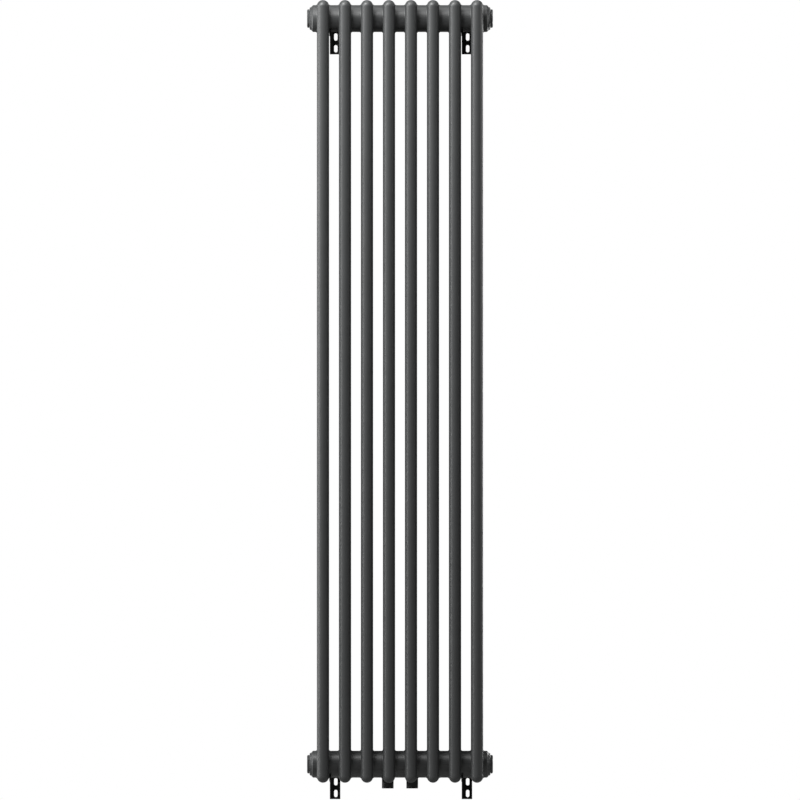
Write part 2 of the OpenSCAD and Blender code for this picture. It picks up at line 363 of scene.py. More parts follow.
# %% Paints
def new_material(name):
    material = bpy.data.materials.new(name)
    material.use_nodes = True
    shader = material.node_tree.nodes["Principled BSDF"]
    return material, material.node_tree, shader


def powder_paint(
    name, color, roughness, specular=0.5, mottle=0.06, peel_size=700.0, peel_depth=0.25
):
    material, tree, shader = new_material(name)
    coat = tree.nodes.new("ShaderNodeGroup")
    coat.node_tree = POWDER_COAT
    coat.inputs["Color"].default_value = (*color, 1)
    coat.inputs["Roughness"].default_value = roughness
    coat.inputs["Mottle"].default_value = mottle
    coat.inputs["Peel Size"].default_value = peel_size
    coat.inputs["Peel Depth"].default_value = peel_depth
    tree.links.new(coat.outputs["Color"], shader.inputs["Base Color"])
    tree.links.new(coat.outputs["Roughness"], shader.inputs["Roughness"])
    tree.links.new(coat.outputs["Normal"], shader.inputs["Normal"])
    shader.inputs["Specular IOR Level"].default_value = specular
    return material


ANTHRACITE = powder_paint("anthracite_powder_coat", (0.052, 0.054, 0.0545), 0.42)
BRACKET_BLACK = powder_paint("black_powder_coat", (0.0022, 0.0023, 0.0023), 0.5, specular=0.12)
# The sockets carry the radiator's paint made darker: painted shade for the shadow they sit in below
# the bottom header and behind the tube domes.
SOCKET_SHADE_PAINT = powder_paint("socket_paint_with_painted_shade", (0.013, 0.0135, 0.0137), 0.4, specular=0.4)


# %% [markdown]
# The small parts are bare: turned brass, zinc-plated steel, raw sheet inside the header, moulded
# plastic and rubber. Turned and rolled metal carries fine lines, moulded plastic has a soft grain,
# and both are a stretched or plain noise that changes the gloss and moves the normal a little.

# %% Bare metal, plastic and rubber
GLOSS_SPREAD = 0.08
GRAIN_RELIEF = 0.2 * MM


def grained(name, color, metallic, roughness, stretch, size, depth, contrast):
    """A material whose tone, gloss and surface follow one stretched noise."""
    material, tree, shader = new_material(name)
    shader.inputs["Metallic"].default_value = metallic
    place = tree.nodes.new("ShaderNodeTexCoord")
    mapping = tree.nodes.new("ShaderNodeMapping")
    mapping.inputs["Scale"].default_value = stretch
    noise = tree.nodes.new("ShaderNodeTexNoise")
    noise.inputs["Scale"].default_value = size
    noise.inputs["Detail"].default_value = 3
    tone = tree.nodes.new("ShaderNodeMapRange")
    tone.inputs["To Min"].default_value = 1 - contrast
    tone.inputs["To Max"].default_value = 1 + contrast
    shade = tree.nodes.new("ShaderNodeHueSaturation")
    shade.inputs["Color"].default_value = (*color, 1)
    gloss = tree.nodes.new("ShaderNodeMapRange")
    gloss.inputs["To Min"].default_value = roughness - GLOSS_SPREAD
    gloss.inputs["To Max"].default_value = roughness + GLOSS_SPREAD
    bump = tree.nodes.new("ShaderNodeBump")
    bump.inputs["Distance"].default_value = GRAIN_RELIEF
    bump.inputs["Strength"].default_value = depth
    tree.links.new(place.outputs["Object"], mapping.inputs["Vector"])
    tree.links.new(mapping.outputs["Vector"], noise.inputs["Vector"])
    tree.links.new(noise.outputs["Fac"], tone.inputs["Value"])
    tree.links.new(tone.outputs["Result"], shade.inputs["Value"])
    tree.links.new(shade.outputs["Color"], shader.inputs["Base Color"])
    tree.links.new(noise.outputs["Fac"], gloss.inputs["Value"])
    tree.links.new(gloss.outputs["Result"], shader.inputs["Roughness"])
    tree.links.new(noise.outputs["Fac"], bump.inputs["Height"])
    tree.links.new(bump.outputs["Normal"], shader.inputs["Normal"])
    return material


EVEN, TURNED, ROLLED = (1, 1, 1), (6, 1, 1), (1, 1, 6)
BRASS = grained("turned_brass", (0.62, 0.45, 0.19), 1.0, 0.3, TURNED, 700, 0.15, 0.12)
ZINC = grained("zinc_plate", (0.58, 0.6, 0.62), 1.0, 0.34, EVEN, 500, 0.12, 0.18)
BARE_STEEL = grained("raw_steel", (0.42, 0.41, 0.4), 1.0, 0.5, ROLLED, 400, 0.2, 0.15)
BLACK_PLASTIC = grained("moulded_plastic", (0.018, 0.018, 0.019), 0.0, 0.5, EVEN, 1500, 0.3, 0.1)
BLACK_RUBBER = grained("black_rubber", (0.014, 0.014, 0.014), 0.0, 0.72, EVEN, 900, 0.3, 0.15)
print("materials:", sorted(material.name for material in bpy.data.materials))

# %% [markdown]
# ## Camera and light
#
# The camera looks straight at the front through a very long lens from far away. Perspective all
# but vanishes, so the tubes stay parallel and the wall plates do not shrink behind them.
#
# Dark satin paint shows its shape only by what it mirrors, so the lamps are placed for the edges
# of the tubes. A large key stands high on the left, and two more lamps on the left draw the bright
# edge of each tube. A weaker strip on the right draws the other edge. Two lamps above light the
# domes and hubs, and two behind lift the back and the brackets. The world gives a little light
# from all round and is plain white where the camera sees it. The floor lies below the radiator,
# which hangs on its wall. It looks pale, but throws less light back than it shows, or the
# undersides would glow.

# %% Camera
VIEW_WIDTH = 1.6362
LENS = 1500
SENSOR_WIDTH = 36
view_centre = Vector((0.0, 0.0, 0.7944))
camera_data = bpy.data.cameras.new("front_camera")
camera = bpy.data.objects.new("front_camera", camera_data)
bpy.context.scene.collection.objects.link(camera)
camera_data.lens = LENS
camera_data.sensor_width = SENSOR_WIDTH
distance = VIEW_WIDTH * LENS / SENSOR_WIDTH
camera.location = view_centre + Vector((0, -distance, 0))
camera.rotation_euler = (math.pi / 2, 0, 0)
camera_data.clip_start = 1.0
camera_data.clip_end = 200.0
bpy.context.scene.camera = camera
print(f"camera sees {VIEW_WIDTH:.3f} m from {distance:.1f} m")


# %% World and lights
def white_world(ambient):
    world = bpy.data.worlds.new("white_studio")
    world.use_nodes = True
    bpy.context.scene.world = world
    tree = world.node_tree
    background = tree.nodes["Background"]
    background.inputs["Color"].default_value = (1, 1, 1, 1)
    path = tree.nodes.new("ShaderNodeLightPath")
    strength = tree.nodes.new("ShaderNodeMapRange")
    strength.inputs["To Min"].default_value = ambient
    strength.inputs["To Max"].default_value = 1.0
    tree.links.new(path.outputs["Is Camera Ray"], strength.inputs["Value"])
    tree.links.new(strength.outputs["Result"], background.inputs["Strength"])


def soft_light(name, location, target, size, power):
    data = bpy.data.lights.new(name, "AREA")
    data.shape = "RECTANGLE"
    data.size, data.size_y = size
    data.energy = power
    lamp = bpy.data.objects.new(name, data)
    bpy.context.scene.collection.objects.link(lamp)
    lamp.location = location
    aim = Vector(target) - Vector(location)
    lamp.rotation_euler = aim.to_track_quat("-Z", "Y").to_euler()
    lamp.visible_camera = False


AMBIENT = 0.06
white_world(AMBIENT)
MID = (0, 0, 0.9)
soft_light("key", (-1.0, -1.25, 3.0), MID, (1.3, 1.0), 78)
soft_light("left_high", (-2.25, -1.3, 2.4), MID, (0.8, 1.0), 30)
soft_light("left_strip", (-2.56, -0.42, 1.2), MID, (1.0, 2.4), 43)
soft_light("right_strip", (2.6, 0, 1.5), MID, (0.8, 2.0), 17)
soft_light("top", (0, -0.1, 3.2), MID, (1.4, 1.0), 9)
soft_light("top_front", (0, -1.4, 3.0), MID, (1.6, 0.8), 12)
soft_light("back_right", (1.67, 2.0, 1.2), MID, (1.0, 2.2), 30)
soft_light("back_left", (-2.35, 1.1, 0.8), MID, (0.9, 2.4), 18)
bpy.context.scene.view_settings.view_transform = "Standard"
print("lamps:", len(bpy.data.lights))


# %% Floor
FLOOR_Z = -0.15
FLOOR_RADIUS = 5.0
FADE_START, FADE_END = 1.2, 4.6
FLOOR_BOUNCE = 0.35


def pale_floor():
    bpy.ops.mesh.primitive_circle_add(
        vertices=96, radius=FLOOR_RADIUS, fill_type="NGON", location=(0, 0, FLOOR_Z)
    )
    floor = settle(bpy.context.object, "pale_floor")
    material, tree, shader = new_material("pale_floor")
    shader.inputs["Base Color"].default_value = (0.7, 0.7, 0.69, 1)
    shader.inputs["Roughness"].default_value = 0.7
    place = tree.nodes.new("ShaderNodeTexCoord")
    reach = tree.nodes.new("ShaderNodeVectorMath")
    reach.operation = "LENGTH"
    fade = tree.nodes.new("ShaderNodeMapRange")
    fade.inputs["From Min"].default_value = FADE_START
    fade.inputs["From Max"].default_value = FADE_END
    fade.inputs["To Min"].default_value = 1.0
    fade.inputs["To Max"].default_value = 0.0
    tree.links.new(place.outputs["Object"], reach.inputs[0])
    path = tree.nodes.new("ShaderNodeLightPath")
    bounce = tree.nodes.new("ShaderNodeMapRange")
    bounce.inputs["To Min"].default_value = FLOOR_BOUNCE
    bounce.inputs["To Max"].default_value = 1.0
    cover = tree.nodes.new("ShaderNodeMath")
    cover.operation = "MULTIPLY"
    tree.links.new(reach.outputs["Value"], fade.inputs["Value"])
    tree.links.new(path.outputs["Is Camera Ray"], bounce.inputs["Value"])
    tree.links.new(fade.outputs["Result"], cover.inputs[0])
    tree.links.new(bounce.outputs["Result"], cover.inputs[1])
    tree.links.new(cover.outputs["Value"], shader.inputs["Alpha"])
    floor.data.materials.append(material)


pale_floor()

# %% [markdown]
# ## Heads
#
# A head is pressed from two sheet halves and welded: three domed column ends, a web between them,
# and a hub on each side. Its charm is in the blends, because sheet steel never meets at a sharp
# corner. A boolean union would leave hard seams, and a bevel along such seams breaks where three
# shapes meet. So the head starts as joined primitives, a voxel remesh makes them one skin, and
# then every point slides onto a formula for the same shapes with round fillets between them. The
# formula gives the distance to a shape, and `fillet_union` joins two distances with an arc of a
# chosen radius.

# %% Distance formulas
def fillet_union(a, b, radius):
    inside = np.hypot(np.maximum(radius - a, 0), np.maximum(radius - b, 0))
    return np.maximum(radius, np.minimum(a, b)) - inside


WEB_R = 10 * MM
WEB_REACH = ROW_PITCH - 7.5 * MM
WEB_TOP = HUB_R - WEB_R - 0.5 * MM
WEB_FOOT = -8 * MM
WEB_FILLET = 5 * MM
HUB_FILLET = 3.2 * MM


def column_distance(p, row, top):
    dz = np.maximum(p[:, 2] - top, 0)
    return np.sqrt(p[:, 0] ** 2 + (p[:, 1] - row) ** 2 + dz**2) - TUBE_R


def head_distance(p, middle_dome):
    tops = [DOME_Z, DOME_Z if middle_dome else 0.0, DOME_Z]
    columns = np.min([column_distance(p, row, top) for row, top in zip(ROWS, tops)], axis=0)
    dy = np.maximum(np.abs(p[:, 1]) - WEB_REACH, 0)
    dz = np.maximum(np.maximum(p[:, 2] - WEB_TOP, WEB_FOOT - p[:, 2]), 0)
    web = np.sqrt(p[:, 0] ** 2 + dy**2 + dz**2) - WEB_R
    hub = np.hypot(p[:, 1], p[:, 2]) - HUB_R
    return fillet_union(fillet_union(columns, web, WEB_FILLET), hub, HUB_FILLET)


def slide_onto(obj, distance, steps=8):
    """Moves every point along the slope of the distance until the distance is zero."""
    count = len(obj.data.vertices)
    flat = np.empty(count * 3)
    obj.data.vertices.foreach_get("co", flat)
    points = flat.reshape(count, 3)
    h, longest_step, least_slope = 0.02 * MM, 1 * MM, 0.05
    for _ in range(steps):
        here = distance(points)
        slope = np.stack([(distance(points + h * e) - here) / h for e in np.eye(3)], axis=1)
        length = np.maximum((slope**2).sum(axis=1), least_slope)
        points -= np.clip(here / length, -longest_step, longest_step)[:, None] * slope
    obj.data.vertices.foreach_set("co", points.ravel())
    obj.data.update()
    return points


# %% One skin for a head
SKIN_VOXEL = 0.95 * MM
OVERLENGTH = 4 * MM


def head_skin(name, middle_dome):
    parts = [rod_x(-HALF_PITCH - OVERLENGTH, HALF_PITCH + OVERLENGTH, HUB_R, vertices=96)]
    for row in ROWS:
        top = DOME_Z if (middle_dome or row) else 0.0
        parts.append(rod_z(-HEAD_STUB - OVERLENGTH, top, TUBE_R, centre=(0, row)))
        bpy.ops.mesh.primitive_uv_sphere_add(
            segments=48, ring_count=24, radius=TUBE_R, location=(0, row, top)
        )
        parts.append(settle(bpy.context.object, "dome"))
    parts.append(block((-WEB_R, ROWS[0], WEB_FOOT), (WEB_R, ROWS[2], WEB_TOP)))
    skin = join(name, parts)
    modifier = skin.modifiers.new("skin", "REMESH")
    modifier.mode = "VOXEL"
    modifier.voxel_size = SKIN_VOXEL
    bpy.ops.object.modifier_apply(modifier=modifier.name)
    modifier = skin.modifiers.new("soften", "SMOOTH")
    modifier.iterations = 4
    bpy.ops.object.modifier_apply(modifier=modifier.name)
    points = slide_onto(skin, lambda p: head_distance(p, middle_dome))
    kept = points[(np.abs(points[:, 0]) < HALF_PITCH) & (points[:, 2] > -HEAD_STUB)]
    worst = np.abs(head_distance(kept, middle_dome)).max()
    print(f"{name}: {len(skin.data.polygons)} faces, at most {worst / MM:.3f} mm off the formula")
    return skin


def trim(obj, place, outward_direction):
    """Cuts off what lies beyond a plane and closes the cut."""
    only(obj)
    bpy.ops.object.mode_set(mode="EDIT")
    bpy.ops.mesh.select_all(action="SELECT")
    bpy.ops.mesh.bisect(
        plane_co=place, plane_no=outward_direction, use_fill=True, clear_outer=True, threshold=MERGE
    )
    bpy.ops.object.mode_set(mode="OBJECT")


def head_between(skin, name, x0, x1):
    head = copy_to(skin, name)
    trim(head, (x0, 0, 0), (-1, 0, 0))
    trim(head, (x1, 0, 0), (1, 0, 0))
    trim(head, (0, 0, -HEAD_STUB), (0, 0, -1))
    return head


# %% All heads
FIRST, LAST = SECTIONS[0], SECTIONS[-1]
domed_skin = head_skin("domed_skin", True)
open_skin = head_skin("open_skin", False)
head_shapes = {
    "inner": head_between(domed_skin, "inner_head", -HALF_PITCH, HALF_PITCH),
    "first": head_between(domed_skin, "first_head", -HUB_END, HALF_PITCH),
    "last": head_between(domed_skin, "last_head", -HALF_PITCH, HUB_END),
    "socket": head_between(open_skin, "socket_head", -HALF_PITCH, HALF_PITCH),
}
SOCKET_SECTIONS = [len(SECTIONS) // 2, len(SECTIONS) // 2 + 1]
for i in SECTIONS:
    kind = "first" if i == FIRST else "last" if i == LAST else "inner"
    top = copy_to(head_shapes[kind], f"top_head_{i}", (SECTION_X[i], 0, AXIS_Z["top"]))
    finish_piece(top, ANTHRACITE, "radiator", [f"head_top_{i}"])
    kind = "socket" if i in SOCKET_SECTIONS else kind
    place = (SECTION_X[i], 0, AXIS_Z["bottom"])
    low = copy_to(head_shapes[kind], f"bottom_head_{i}", place, (1, 1, -1))
    finish_piece(low, ANTHRACITE, "radiator", [f"head_bottom_{i}"])
for shape in [domed_skin, open_skin, *head_shapes.values()]:
    delete(shape)
print("heads:", 2 * len(SECTIONS))

# %% [markdown]
# ## Tubes
#
# The tubes are drawn steel, welded to the heads and ground flush, so under the paint they run into
# the heads without a line. Each section's three tubes are one piece.

# %% Section tubes
TUBE_SIDES = 64
for i in SECTIONS:
    x = SECTION_X[i]
    tubes = [rod_z(tube_low.z, tube_high.z, TUBE_R, (x, row), TUBE_SIDES) for row in ROWS]
    tubes = join(f"section_tubes_{i}", tubes)
    finish_piece(tubes, ANTHRACITE, "radiator", [f"tubes_{i}"])
print("tubes:", len(SECTIONS) * len(ROWS))

# %% [markdown]
# ## End caps
#
# Each header ends in a turned cap that is welded on: a chamfer, a narrow groove, a rim and a sunk
# sealing face with the plug thread in its middle. A turned part is a profile spun about its axis.
# The profile is drawn in place for the right-hand end, and the left-hand caps are mirrored copies.

# %% Turn the end cap
END_X = SECTION_X[LAST]
cap_face_x = cap_high.x
PLUG_R = 13.2 * MM
COLLAR_R = 23.6 * MM
COLLAR_EDGE = 0.1 * MM
GROOVE_DEPTH = 0.7 * MM
RIM_RISE = 0.8 * MM
RIM_R = 21.5 * MM
RIM_ROUND = 0.2 * MM
SEAT_R = 15.9 * MM
BORE_CHAMFER = 0.8 * MM


def at_end(corner):
    level, side = corner.split("_")
    mirror = (-1 if side == "left" else 1, 1, 1)
    return (0, 0, AXIS_Z[level]), mirror


def cap_profile():
    weld_x = END_X + HUB_END
    collar_x = weld_x + (HUB_R - COLLAR_R)
    rim_x = cap_face_x + RIM_RISE
    return [
        (weld_x, PLUG_R),
        (weld_x, HUB_R - 0.45 * MM),
        (weld_x + 0.45 * MM, HUB_R - 0.25 * MM),
        (collar_x - 0.3 * MM, COLLAR_R + 0.35 * MM),
        (collar_x, COLLAR_R),
        (collar_x + 0.1 * MM, COLLAR_R - GROOVE_DEPTH),
        (collar_x + 1.05 * MM, COLLAR_R - GROOVE_DEPTH),
        (collar_x + 1.15 * MM, COLLAR_R - COLLAR_EDGE),
        (collar_x + 1.5 * MM, COLLAR_R - COLLAR_EDGE),
        (rim_x - 0.25 * MM, RIM_R + 0.5 * MM),
        (rim_x, RIM_R),
        (rim_x, SEAT_R + RIM_ROUND),
        (rim_x - RIM_ROUND, SEAT_R),
        (cap_face_x, SEAT_R),
        (cap_face_x, PLUG_R + BORE_CHAMFER),
        (cap_face_x - BORE_CHAMFER, PLUG_R),
    ]


cap_shape = turned("cap_shape", cap_profile())
for corner in CORNERS:
    place, mirror = at_end(corner)
    cap = copy_to(cap_shape, f"header_cap_{corner}", place, mirror)
    finish_piece(cap, ANTHRACITE, "radiator", [f"end_cap_{corner}"], angle=25)
delete(cap_shape)
print("end caps:", len(CORNERS))

# %% [markdown]
# ## Plugs, gaskets and the air vent
#
# A plug's head is a hexagon bar turned to a cone at its face, which leaves the round-cornered
# chamfer of every hexagon nut. It is modelled the same way: a six-sided prism, cut by a turned
# cone. The plugs are painted with the radiator. One of them is drilled for the air vent, the
# radiator's small valve: a brass needle with a square for the key, in a black ring that swivels to
# point its outlet down.

# %% Hexagons
def hexagon_x(x0, x1, corners, chamfer, both_ends=False):
    """Hexagon along X with corners up and down, coned at x1, and at x0 too if asked."""
    bar = rod_x(x0, x1, corners / 2, vertices=6)
    only(bar)
    bpy.ops.object.mode_set(mode="EDIT")
    bpy.ops.mesh.select_all(action="SELECT")
    bpy.ops.transform.rotate(value=math.pi / 6, orient_axis="X", center_override=(0, 0, 0))
    bpy.ops.object.mode_set(mode="OBJECT")
    round_edges(bar, 0.15 * MM, 2, 35)
    face_r = corners / 2 * math.cos(math.pi / 6) - 0.2 * MM
    wide_r = corners / 2 + 0.3 * MM
    start = [(x0 - 1 * MM, 0), (x0 - 1 * MM, wide_r)]
    if both_ends:
        start = [(x0, 0), (x0, face_r), (x0 + chamfer, wide_r)]
    end = [(x1 - chamfer, wide_r), (x1, face_r), (x1, 0)]
    return combine(bar, turned("turning", start + end, closed=False), "INTERSECT")


plug_low, plug_high = box("vent_plug")
PLUG_FACE_X = plug_high.x
PLUG_CORNERS = plug_high.z - plug_low.z
GASKET_T = 1 * MM
HEX_X = cap_face_x + GASKET_T
HEX_CHAMFER = 1.2 * MM
PIPE_PITCH = 1.814 * MM
ROOT_DEPTH, CREST_DEPTH = 0.9 * MM, 0.1 * MM


def plug_head(name):
    return settle(hexagon_x(HEX_X, PLUG_FACE_X, PLUG_CORNERS, HEX_CHAMFER), name)


def plug_shank():
    """The threaded part as rings at the pitch of the pipe thread, 14 to the inch."""
    profile = [(HEX_X, 0), (HEX_X, PLUG_R - 0.3 * MM)]
    x = HEX_X - 1.2 * MM
    while x > plug_low.x + PIPE_PITCH:
        profile += [(x, PLUG_R - ROOT_DEPTH), (x - PIPE_PITCH / 2, PLUG_R - CREST_DEPTH)]
        x -= PIPE_PITCH
    profile += [(plug_low.x, PLUG_R - 1.2 * MM), (plug_low.x, 0)]
    return turned("shank", profile, closed=False, steps=48)


# %% Blank plugs
DISH_DEPTH = 0.6 * MM
DISH_FLOOR_R = 9.2 * MM
DISH_MOUTH_R = 10.8 * MM
PLUG_EDGE = 0.2 * MM

blank = plug_head("blank")
dish_profile = [
    (PLUG_FACE_X - DISH_DEPTH, 0),
    (PLUG_FACE_X - DISH_DEPTH, DISH_FLOOR_R),
    (PLUG_FACE_X + OVERCUT, DISH_MOUTH_R),
    (PLUG_FACE_X + OVERCUT, 0),
]
combine(blank, turned("dish", dish_profile, closed=False))
round_edges(blank, PLUG_EDGE, 2, 28)
blank_plug = join("blank_plug", [blank, plug_shank()])
for corner in ["top_left", "bottom_left", "bottom_right"]:
    place, mirror = at_end(corner)
    plug = copy_to(blank_plug, f"end_plug_{corner}", place, mirror)
    finish_piece(plug, ANTHRACITE, "radiator", [f"plug_{corner}"], angle=30)
delete(blank_plug)

# %% Vent plug
ring_low, ring_high = box("vent_outlet_ring")
RING_R = (ring_high.z - ring_low.z) / 2
RING_BORE_R = 4.6 * MM
RING_EDGE = 0.5 * MM
OUTLET_R = 1.1 * MM
OUTLET_DROP = (RING_R + RING_BORE_R) / 2
needle_low, needle_high = box("vent_spindle")
NEEDLE_R = (needle_high.z - needle_low.z) / 2
NEEDLE_BORE_R = NEEDLE_R + 0.15 * MM
NEEDLE_PITCH = 1 * MM
KEY_HALF = 2.5 * MM


def place_vent_piece(shape, name):
    piece = copy_to(shape, name, (0, 0, AXIS_Z["top"]))
    delete(shape)
    return piece


vent_head = plug_head("vent_head")
combine(vent_head, rod_x(ring_low.x - 0.1 * MM, PLUG_FACE_X + OVERCUT, RING_R + 0.12 * MM))
combine(vent_head, rod_x(HEX_X - OVERCUT, PLUG_FACE_X, NEEDLE_BORE_R))
round_edges(vent_head, PLUG_EDGE, 2, 28)
sleeve_profile = [
    (plug_low.x, NEEDLE_BORE_R),
    (plug_low.x, PLUG_R - 1 * MM),
    (HEX_X + 0.1 * MM, PLUG_R - 0.4 * MM),
    (HEX_X + 0.1 * MM, NEEDLE_BORE_R),
]
vent_plug = join("vent_plug_body", [vent_head, turned("vent_sleeve", sleeve_profile)])
vent_plug = place_vent_piece(vent_plug, "vent_plug_top_right")
finish_piece(vent_plug, ANTHRACITE, "radiator", ["vent_plug"], angle=30)

# %% Needle with its key square
square = block((HEX_X - 0.2 * MM, -KEY_HALF, -KEY_HALF), (needle_high.x, KEY_HALF, KEY_HALF))
round_edges(square, 0.35 * MM, 3, 40)
thread = [(HEX_X, 0), (HEX_X, NEEDLE_R - 0.4 * MM)]
thread_x = HEX_X - 0.3 * MM
while thread_x > needle_low.x + 4 * MM:
    crest = (thread_x - NEEDLE_PITCH / 2, NEEDLE_R - 0.05 * MM)
    thread += [(thread_x, NEEDLE_R - 0.6 * MM), crest]
    thread_x -= NEEDLE_PITCH
tip_x = needle_low.x
thread += [(tip_x + 3 * MM, NEEDLE_R - 0.2 * MM), (tip_x, 1.2 * MM), (tip_x, 0)]
needle = join("vent_needle_shape", [square, turned("needle", thread, closed=False, steps=48)])
needle = place_vent_piece(needle, "vent_needle")
finish_piece(needle, BRASS, "vent_spindle", ["vent_spindle"], angle=30)

# %% Outlet ring
ring_profile = [
    (ring_low.x, RING_BORE_R),
    (ring_low.x, RING_R),
    (ring_high.x - RING_EDGE, RING_R),
    (ring_high.x, RING_R - RING_EDGE),
    (ring_high.x, RING_BORE_R + 0.4 * MM),
    (ring_high.x - 0.4 * MM, RING_BORE_R),
]
ring = turned("ring", ring_profile)
outlet_middle = (0, -OUTLET_DROP)
combine(ring, rod_x(ring_low.x - OVERCUT, ring_high.x + OVERCUT, OUTLET_R, outlet_middle, 24))
round_edges(ring, 0.15 * MM, 2, 40)
ring = place_vent_piece(ring, "vent_ring")
node = "vent_outlet_ring"
finish_piece(ring, BLACK_PLASTIC, node, [node], angle=30)

# %% Gaskets
gasket_low, gasket_high = box("plug_gaskets")
GASKET_R = (gasket_high.z - gasket_low.z - HEADER_SPAN) / 2
rim_middle = (cap_face_x + GASKET_T / 2, GASKET_R - GASKET_T / 2)
round_rim = arc(rim_middle, GASKET_T / 2, 180, 0, 8)
gasket_shape = turned("gasket_shape", [(cap_face_x, PLUG_R), *round_rim, (HEX_X, PLUG_R)])
gaskets = []
for corner in CORNERS:
    place, mirror = at_end(corner)
    gaskets.append(copy_to(gasket_shape, f"gasket_{corner}", place, mirror))
delete(gasket_shape)
gaskets = join("gaskets", gaskets)
finish_piece(gaskets, BLACK_RUBBER, "radiator", ["plug_gaskets"], angle=40)
print("plugs, gaskets and vent done")

# %% [markdown]
# ## Pipe sockets
#
# The two sockets at the bottom centre are turned steel with a half-inch pipe thread inside, welded
# to the bottom hub. From below one looks into them, so the thread is real geometry: rings at the
# thread's pitch, which read the same as a helix at this size. The weld is a bead that follows the
# saddle-shaped line where the upright socket meets the round hub.

# %% Sockets with thread and weld bead
socket_low, socket_high = box("connection_right")
SOCKET_R = (socket_high.x - socket_low.x) / 2
SOCKET_X = middle("connection_right").x
THREAD_R = 9.3 * MM
THREAD_DEPTH = 15 * MM
GROOVE_R = THREAD_R + 1.0 * MM
BORE_R = THREAD_R - 1.3 * MM
MOUTH_EDGE = 0.5 * MM
WELD_R = 1.3 * MM
WELD_RIPPLES = 18
RIPPLE_HEIGHT = 0.1


def socket_profile():
    mouth = [
        (MOUTH_EDGE, SOCKET_R),
        (0, SOCKET_R - MOUTH_EDGE),
        (0, THREAD_R + 1.5 * MM),
        (1.2 * MM, THREAD_R),
    ]
    thread = []
    z = 1.9 * MM
    while z < THREAD_DEPTH - PIPE_PITCH:
        groove = (z + PIPE_PITCH * 0.45, GROOVE_R)
        thread += [(z, THREAD_R), groove, (z + PIPE_PITCH * 0.9, THREAD_R)]
        z += PIPE_PITCH
    tail = [(THREAD_DEPTH, THREAD_R), (THREAD_DEPTH, BORE_R), (socket_high.z, BORE_R)]
    return mouth + thread + tail + [(socket_high.z, SOCKET_R)]


def weld_bead(name, turns=72, sides=10):
    """A closed tube along the line where socket and hub meet, with a gentle ripple."""
    mesh = bmesh.new()
    rings = []
    for k in range(turns):
        angle = 2 * math.pi * k / turns
        out = Vector((math.cos(angle), math.sin(angle), 0))
        drop = math.sqrt(HUB_R**2 - (SOCKET_R * math.sin(angle)) ** 2)
        centre = out * SOCKET_R + Vector((0, 0, AXIS_Z["bottom"] - drop))
        r = WELD_R * (1 + RIPPLE_HEIGHT * math.sin(WELD_RIPPLES * angle))
        ring = []
        for m in range(sides):
            turn = 2 * math.pi * m / sides
            side_point = centre + out * (r * math.cos(turn))
            ring.append(mesh.verts.new(side_point + Vector((0, 0, r * math.sin(turn)))))
        rings.append(ring)
    for k in range(turns):
        for m in range(sides):
            a, b = rings[k], rings[(k + 1) % turns]
            mesh.faces.new((a[m], b[m], b[(m + 1) % sides], a[(m + 1) % sides]))
    data = bpy.data.meshes.new(name)
    mesh.to_mesh(data)
    mesh.free()
    obj = bpy.data.objects.new(name, data)
    bpy.context.scene.collection.objects.link(obj)
    return outward(obj)


for side, sign in [("left", -1), ("right", 1)]:
    body = turned(f"socket_{side}", socket_profile(), axis="Z")
    socket = join(f"pipe_socket_shape_{side}", [body, weld_bead(f"weld_{side}")])
    piece = copy_to(socket, f"pipe_socket_{side}", (sign * SOCKET_X, 0, 0))
    delete(socket)
    # The sockets' paint is darkened as painted shade, not a paint of their own.
    finish_piece(piece, SOCKET_SHADE_PAINT, "radiator", [f"connection_{side}"], angle=30)
print(f"socket r {SOCKET_R / MM:.1f} mm at x = {SOCKET_X:.3f} m")

# %% [markdown]
# ## Wall brackets
#
# Four equal brackets carry the radiator. A laser-cut hook passes under the hub, lined with
# plastic, and its arm runs back between the sections. A bent sheet stands on the wall: a plate
# with two upright slots, and a flange beside the arm. One bolt clamps flange and arm, and the slot
# in the flange sets the distance to the wall. Cut sheet has crisp outlines with slightly rolled
# edges, so each part is an outline given its thickness, and then its edges are rounded by a few
# tenths of a millimetre.

# %% Flat parts from an outline
def plate_from_outline(name, outline, x0, x1):
    """A plate between x0 and x1 from (y, z) points that run round its edge."""
    return extruded(name, [(x0, y, z) for y, z in outline], (x1 - x0, 0, 0))


GAP_X = {
    "left": (SECTION_X[FIRST] + SECTION_X[FIRST + 1]) / 2,
    "right": (SECTION_X[LAST - 1] + SECTION_X[LAST]) / 2,
}


def at_bracket(corner):
    level, side = corner.split("_")
    return (GAP_X[side], 0, AXIS_Z[level])


arm_low, arm_high = box("hook_arm_top_left")
arm_shift = Vector(at_bracket("top_left"))
ARM_X0, ARM_X1 = arm_low.x - arm_shift.x, arm_high.x - arm_shift.x
ARM_HALF = arm_high.z - arm_shift.z
ARM_END = arm_high.y
HOOK_R = arm_shift.z - arm_low.z
LINER_R = box("hook_liner_top_left")[1].y
HOOK_BORE_R = LINER_R + 0.05 * MM
LINER_BORE_R = HUB_R + 0.1 * MM
TIP_ANGLE = 180 + 40
LINER_START = TIP_ANGLE + 4
ARM_CORNER_R = 3 * MM
BOLT_Y = middle("clamp_bolts").y
BOLT_R = 4 * MM
BOLT_HOLE_R = BOLT_R + 0.1 * MM


